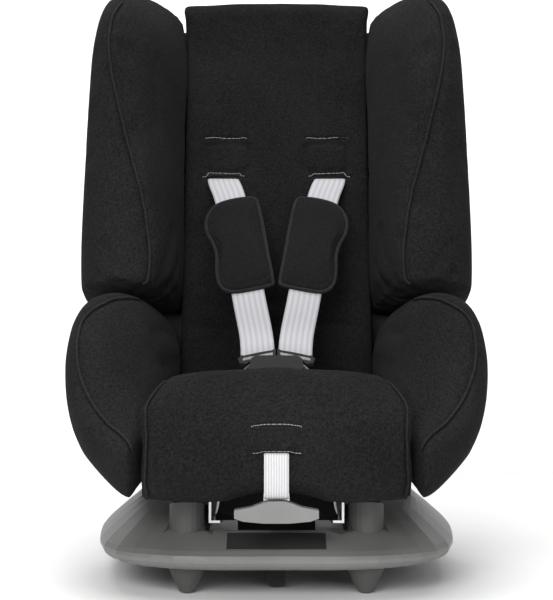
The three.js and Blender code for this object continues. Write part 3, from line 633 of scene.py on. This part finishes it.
def slit(name, host, centre, half, up, gape=1.7):
    """A bound slot in a cover: a pressed mouth, a raised lip and light stitches along its upper side."""
    centre, up = Vector(centre) * MM, Vector(up).normalized()
    along = Vector((1, 0, 0))
    line = [centre + along * half * MM * t for t in np.linspace(-1, 1, 25)]
    carve(host, snapped(tree_of(host), line), 3.0, 2.2)
    tree = tree_of(host)

    def ring(grow):
        loop = []
        for k in range(44):
            a = 2 * math.pi * k / 44
            x = math.cos(a)
            stadium = math.copysign(min(1, abs(x) * 1.12) ** 0.8, x)
            sideways, upward = stadium * (half + grow), math.sin(a) * (gape + grow)
            loop.append(centre + (along * sideways + up * upward) * MM)
        return loop

    def laid(loop, lift):
        out = []
        for p in loop:
            spot, normal, _, _ = tree.find_nearest(p)
            out.append(spot + normal * lift * MM)
        return out

    pieces = [tube(name, laid(ring(0.4), 0.5), 1.0, BINDING, closed=True)]
    mouth = laid(ring(-0.6), -0.6)
    mesh = bpy.data.meshes.new(name)
    mesh.from_pydata([v[:] for v in mouth], [], [tuple(range(len(mouth)))])
    pieces.append(add_object(name, mesh, SHELL))
    stitches = laid(ring(1.5), 1.0)[:23]
    for a, b in zip(stitches, stitches[1:]):
        pieces.append(tube(name, [a, a.lerp(b, 0.3), a.lerp(b, 0.6), a.lerp(b, 0.9)], 0.6, STITCH, sides=6))
    piece = joined(name, pieces)
    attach(piece, "seat")
    return piece


def tab_outline(host, x, low, high, half, side):
    """The puckered patch between an upper and a lower slot."""
    loop = []
    for k in range(61):
        a = 2 * math.pi * k / 60
        u, v = math.cos(a), math.sin(a)
        u, v = math.copysign(abs(u) ** 0.55, u), math.copysign(abs(v) ** 0.55, v)
        pinch = 1 - 0.16 * (1 - v * v)
        loop.append(in_back(side * x + u * half * pinch, 0, (low + high) / 2 + v * (high - low) / 2))
    carve(host, snapped(tree_of(host), loop), 3.2, 3.6)


for side, s in SIDES:
    tab_outline(back_cover, 61, 290, 328, 31, s)
    slit(f"upper_slit_{side}", back_cover, in_back(s * 62, 0, 335) / MM, 25, (0, 0.27, 0.96))
    slit(f"lower_slit_{side}", back_cover, in_back(s * 66, 0, 284) / MM, 25, (0, 0.27, 0.96), 3.2)
slit("seat_slit_upper", seat_cover, (0, -237, 180), 24, (0, 0.15, 1))
slit("seat_slit_lower", seat_cover, (0, -238, 154), 24, (0, 0, 1))


# ---------- harness ----------
def ribbon(name, keys, across_keys, width, material, thick=1.6, step=3.0):
    """Flat webbing along a path. across_keys are (share of the length, direction of the width)."""
    path = curve_points(keys, step)
    along = np.concatenate([[0], np.cumsum([(b - a).length for a, b in zip(path, path[1:])])])
    section = []
    columns = 12
    for k in range(columns + 1):
        u = -1 + 2 * k / columns
        section.append((u, 0.5 * (1 - abs(u) ** 10) ** 0.5 + 0.02))
    loop = section + [(u, -v) for u, v in reversed(section)]
    verts, faces, weave = [], [], []
    last = len(path) - 1
    for i, p in enumerate(path):
        t = along[i] / along[-1]
        way = (path[min(i + 1, last)] - path[max(i - 1, 0)]).normalized()
        across = Vector(across_keys[0][1])
        for (t0, a0), (t1, a1) in zip(across_keys, across_keys[1:]):
            if t >= t0:
                across = Vector(a0).lerp(Vector(a1), min(1, (t - t0) / max(t1 - t0, 1e-6)))
        across = (across - way * across.dot(way)).normalized()
        out = way.cross(across)
        for u, v in loop:
            verts.append(p + (across * u * width / 2 + out * v * thick) * MM)
            weave.append((u * width / 2, along[i] / MM, 0))
    n = len(loop)
    for i in range(last):
        for k in range(n):
            m = (k + 1) % n
            faces.append((i * n + k, i * n + m, (i + 1) * n + m, (i + 1) * n + k))
    faces.append(tuple(reversed(range(n))))
    faces.append(tuple(last * n + k for k in range(n)))
    mesh = bpy.data.meshes.new(name)
    mesh.from_pydata([v[:] for v in verts], [], faces)
    mesh.attributes.new("weave", "FLOAT_VECTOR", "POINT")
    mesh.attributes["weave"].data.foreach_set("vector", np.array(weave, dtype=np.float32).ravel())
    obj = add_object(name, mesh, material)
    return obj


WIDE, NARROW = 38, 25  # harness webbing and adjuster webbing
ALONG_X = [(0, (1, 0, 0)), (1, (1, 0, 0))]
PAD_TOP, PAD_LOW = (50.5, 73, 430), (33, -16, 317)


def shoulder_strap(side, s):
    top, low = (Vector((s * p[0], p[1], p[2])) * MM for p in (PAD_TOP, PAD_LOW))
    behind = [(26, 49.5, 217), (28, 49.5, 226), (44, 50, 245), (60, 50, 265), (66, 49, 277), (66, 44, 282.6),
              (66, 30, 283), (66, 6, 283), (65.4, -5, 280), (64, -14, 272)]
    into_tongue = [(24, -1.5, 71), (21.6, -3.2, 46), (21.2, -2.2, 38), (21, 0, 32), (20.8, 3.6, 29.5)]
    outward = Vector((s * 5.5, 0, 0)) * MM
    keys = [*(in_back(s * x, y, z) for x, y, z in behind), top + outward, top.lerp(low, 0.5), low,
            *(in_buckle(s * x, y, z) for x, y, z in into_tongue)]
    slant = (s * 0.97, -0.24 * 0.707, -0.24 * 0.707)
    turns = [(0, (s, 0, 0)), (0.86, (s, 0, 0)), (0.955, slant), (1, slant)]
    strap = ribbon(f"shoulder_webbing_{side}", keys, turns, WIDE, WEBBING)
    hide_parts(f"shoulder_strap_{side}")
    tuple(low)
    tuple(in_buckle(s * 22, 0, 54))
    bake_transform(strap)


def lap_strap(side, s):
    held, laid = in_buckle(s * 36, 6.4, 15), (79, -22, 196.5)
    over_seat = [(52, -65, 219.5), (64, -45, 207), laid, (91, -4, 189), (96, -2, 176), (96, -2, 150),
                 (96, -2, 121.8)]
    keys = [in_buckle(s * 30, 6, 20), held, *points_mm(over_seat, s)]
    turns = [(0, (-0.6 * s, 0.5, 0.4)), (0.2, (-0.87 * s, 0.5, 0)), (0.62, (0, 1, 0)), (1, (0, 1, 0))]
    strap = ribbon(f"lap_webbing_{side}", keys, turns, WIDE, WEBBING)
    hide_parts(f"lap_strap_{side}")
    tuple(held)
    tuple(points_mm([laid], s)[0])
    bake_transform(strap)


PAD_OUTLINE = [(-30, -59), (-26, -66), (0, -70), (20, -70), (30, -60), (32, -40), (30, -16), (32, 2),
               (37, 18), (38, 32), (35, 46), (25, 61), (8, 68), (-14, 70), (-25, 65), (-28, 30), (-29, -20)]


def pad_frame(s):
    top, low = (Vector((s * p[0], p[1], p[2])) * MM for p in (PAD_TOP, PAD_LOW))
    up = (top - low).normalized()
    x = (Vector((s, 0, 0)) - up * up.x * s).normalized()
    y = up.cross(x) * s
    middle = (top + low) / 2
    return lambda a, b, c: middle + (x * a + y * b + up * c) * MM


def shoulder_pad(side, s):
    place = pad_frame(s)
    keys = PAD_OUTLINE
    loop = []
    count = len(keys)
    for i in range(count):
        a, b, c, d = (Vector((*keys[(i + k) % count], 0)) for k in (-1, 0, 1, 2))
        loop += [spline(a, b, c, d, k / 4) for k in range(4)]
    n = len(loop)
    layers = [(0.0, -7.6), (0.35, -7.5), (0.7, -7.0), (0.88, -6.0), (0.96, -4.2), (1.0, -1.4), (1.0, 1.4),
              (0.96, 4.2), (0.88, 6.0), (0.7, 7.0), (0.35, 7.5), (0.0, 7.6)]
    verts, faces = [place(0, layers[0][1], 0)], []
    for grow, y in layers[1:-1]:
        for p in loop:
            bend = 1.2 * math.sin(p.y / 20) * (1 - abs(y) / 16)
            verts.append(place(p.x * grow * 1.03 + (1 - grow) * 2, y + bend * 0.4, p.y * grow * 1.02))
    verts.append(place(0, layers[-1][1], 0))
    rows = len(layers) - 2
    for k in range(n):
        m = (k + 1) % n
        faces.append((0, 1 + m, 1 + k))
        for i in range(rows - 1):
            faces.append((1 + i * n + k, 1 + i * n + m, 1 + (i + 1) * n + m, 1 + (i + 1) * n + k))
        faces.append((1 + (rows - 1) * n + k, 1 + (rows - 1) * n + m, 1 + rows * n))
    mesh = bpy.data.meshes.new(f"pad_{side}")
    mesh.from_pydata([v[:] for v in verts], [], faces)
    tidy = bmesh.new()
    tidy.from_mesh(mesh)
    bmesh.ops.recalc_face_normals(tidy, faces=tidy.faces)
    tidy.to_mesh(mesh)
    tidy.free()
    pad = remeshed(add_object(f"pad_{side}", mesh, PAD), 3, PAD)
    relax(pad, 4)
    swell(pad, 3.0, 2.5, 0.4)
    finer(pad)
    hem = [place(p.x * 0.86 + 1, -7, p.y * 0.9) for p in loop[: n // 2 + 4]]
    carve(pad, snapped(tree_of(pad), hem), 0.9, 1.6)
    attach(pad, "seat")
    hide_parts(f"shoulder_pad_{side}")
    rim = [place(p.x * 1.01, -1.6, p.y * 1.01) for p in loop]
    edge = tube(f"pad_binding_{side}", rim, 2.3, BINDING, closed=True)
    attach(edge, "seat")


for side, s in SIDES:
    shoulder_strap(side, s)
    lap_strap(side, s)
    shoulder_pad(side, s)

crotch_route = points_mm([(0, -128, 121.8), (0, -128, 150), (0, -128, 180), (0, -127, 187),
                          (0, -123.5, 191.5)])
crotch_route += [in_buckle(0, 0, -36), in_buckle(0, 0, -26)]
crotch = ribbon("crotch_webbing", crotch_route, ALONG_X, WIDE, WEBBING)
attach(crotch, "seat")
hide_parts("crotch_strap")
rear_route = [in_back(0, 49.5, z) for z in (184, 100, 20, -28)]
rear_route += points_mm([(0, 71, 124), (0, 62, 119.8), (0, 0, 119.6), (0, -120, 119.6), (0, -190, 119.6),
                         (0, -199, 121), (0, -202, 126), (0, -202, 140)])
rear = ribbon("rear_webbing", rear_route, ALONG_X, NARROW, WEBBING)
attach(rear, "seat")
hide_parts("rear_strap")
pull_route = points_mm([(0, -198, 154), (0, -225, 154), (0, -239.5, 153.6), (0, -242.6, 150),
                        (0, -242.6, 132), (0, -240.8, 118), (0, -236.5, 108)])
pull = ribbon("adjuster_webbing", pull_route, ALONG_X, NARROW, ADJUSTER_WEBBING)
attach(pull, "seat")
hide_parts("adjuster_strap")


# ---------- mouldings and metal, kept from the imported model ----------
def finish_node(name, material, bevel=0.8, segments=2, angle=35):
    node = NODES[name]
    node.data.materials.clear()
    node.data.materials.append(material)
    node.data.shade_smooth()
    if bevel:
        edge = node.modifiers.new("edge", "BEVEL")
        edge.width = bevel * MM
        edge.segments = segments
        edge.limit_method = "ANGLE"
        edge.angle_limit = math.radians(angle)
        edge.harden_normals = True


# The material and the edge radius in millimetres of each piece that stays as it was packed.
FINISHES = {
    "seat_shell": (SHELL, 0.8), "bolt_housing": (INNER, 0.6), "guide_block": (INNER, 0.6),
    "base_pan": (INNER, 0.4), "base_front_panel": (BASE_DARK, 3.0), "buckle_body": (BUCKLE, 2.0),
    "adjuster_lever": (DARK, 0.4), "base_shell": (BASE_GREY, 1.2), "recline_handle": (HANDLE_GREY, 2.4),
    "buckle_button": (RED, 1.2), "centre_stop": (RUBBER, 0.8), "seat_foam": (FOAM, 2.0),
    "back_foam": (FOAM, 1.5), "lock_rack": (STEEL, 0.4), "pull_rod": (STEEL, 0.4),
    "lock_bolt": (STEEL, 0.5), "harness_yoke": (STEEL, 0.5), "crotch_anchor": (STEEL, 0.4),
    "adjuster_body": (STEEL, 0.5),
}
for side, _ in SIDES:
    FINISHES[f"runner_{side}"] = (INNER, 0.5)
    FINISHES[f"hook_rail_{side}"] = (STEEL, 0.3)
    FINISHES[f"buckle_tongue_{side}"] = (BUCKLE, 0.9)
    FINISHES[f"belt_guide_{side}"] = (RED, 1.4)
    FINISHES[f"belt_lockoff_{side}"] = (RED, 1.2)
    FINISHES[f"lap_anchor_{side}"] = (STEEL, 0.4)
    FINISHES[f"front_foot_{side}"] = (FOOT_GREY_AND_POST_SHADE, 0.5)
    FINISHES[f"rear_foot_{side}"] = (RUBBER, 0.5)
for i in range(1, 5):
    FINISHES[f"pan_screw_{i}"] = (STEEL, 0.3)
for name, (material, bevel) in FINISHES.items():
    finish_node(name, material, bevel)

# The two posts under the seat get a darker grey than the pan round them: painted shade, standing in for the
# shadow the seat casts on them.
shell = NODES["base_shell"].data
shell.materials.append(FOOT_GREY_AND_POST_SHADE)
for face in shell.polygons:
    x, y, z = face.center
    # Post faces under the seat take the darker grey as painted shade.
    if z > 0.064 and y < -0.14 and 0.06 < abs(x) < 0.118:
        face.material_index = 1
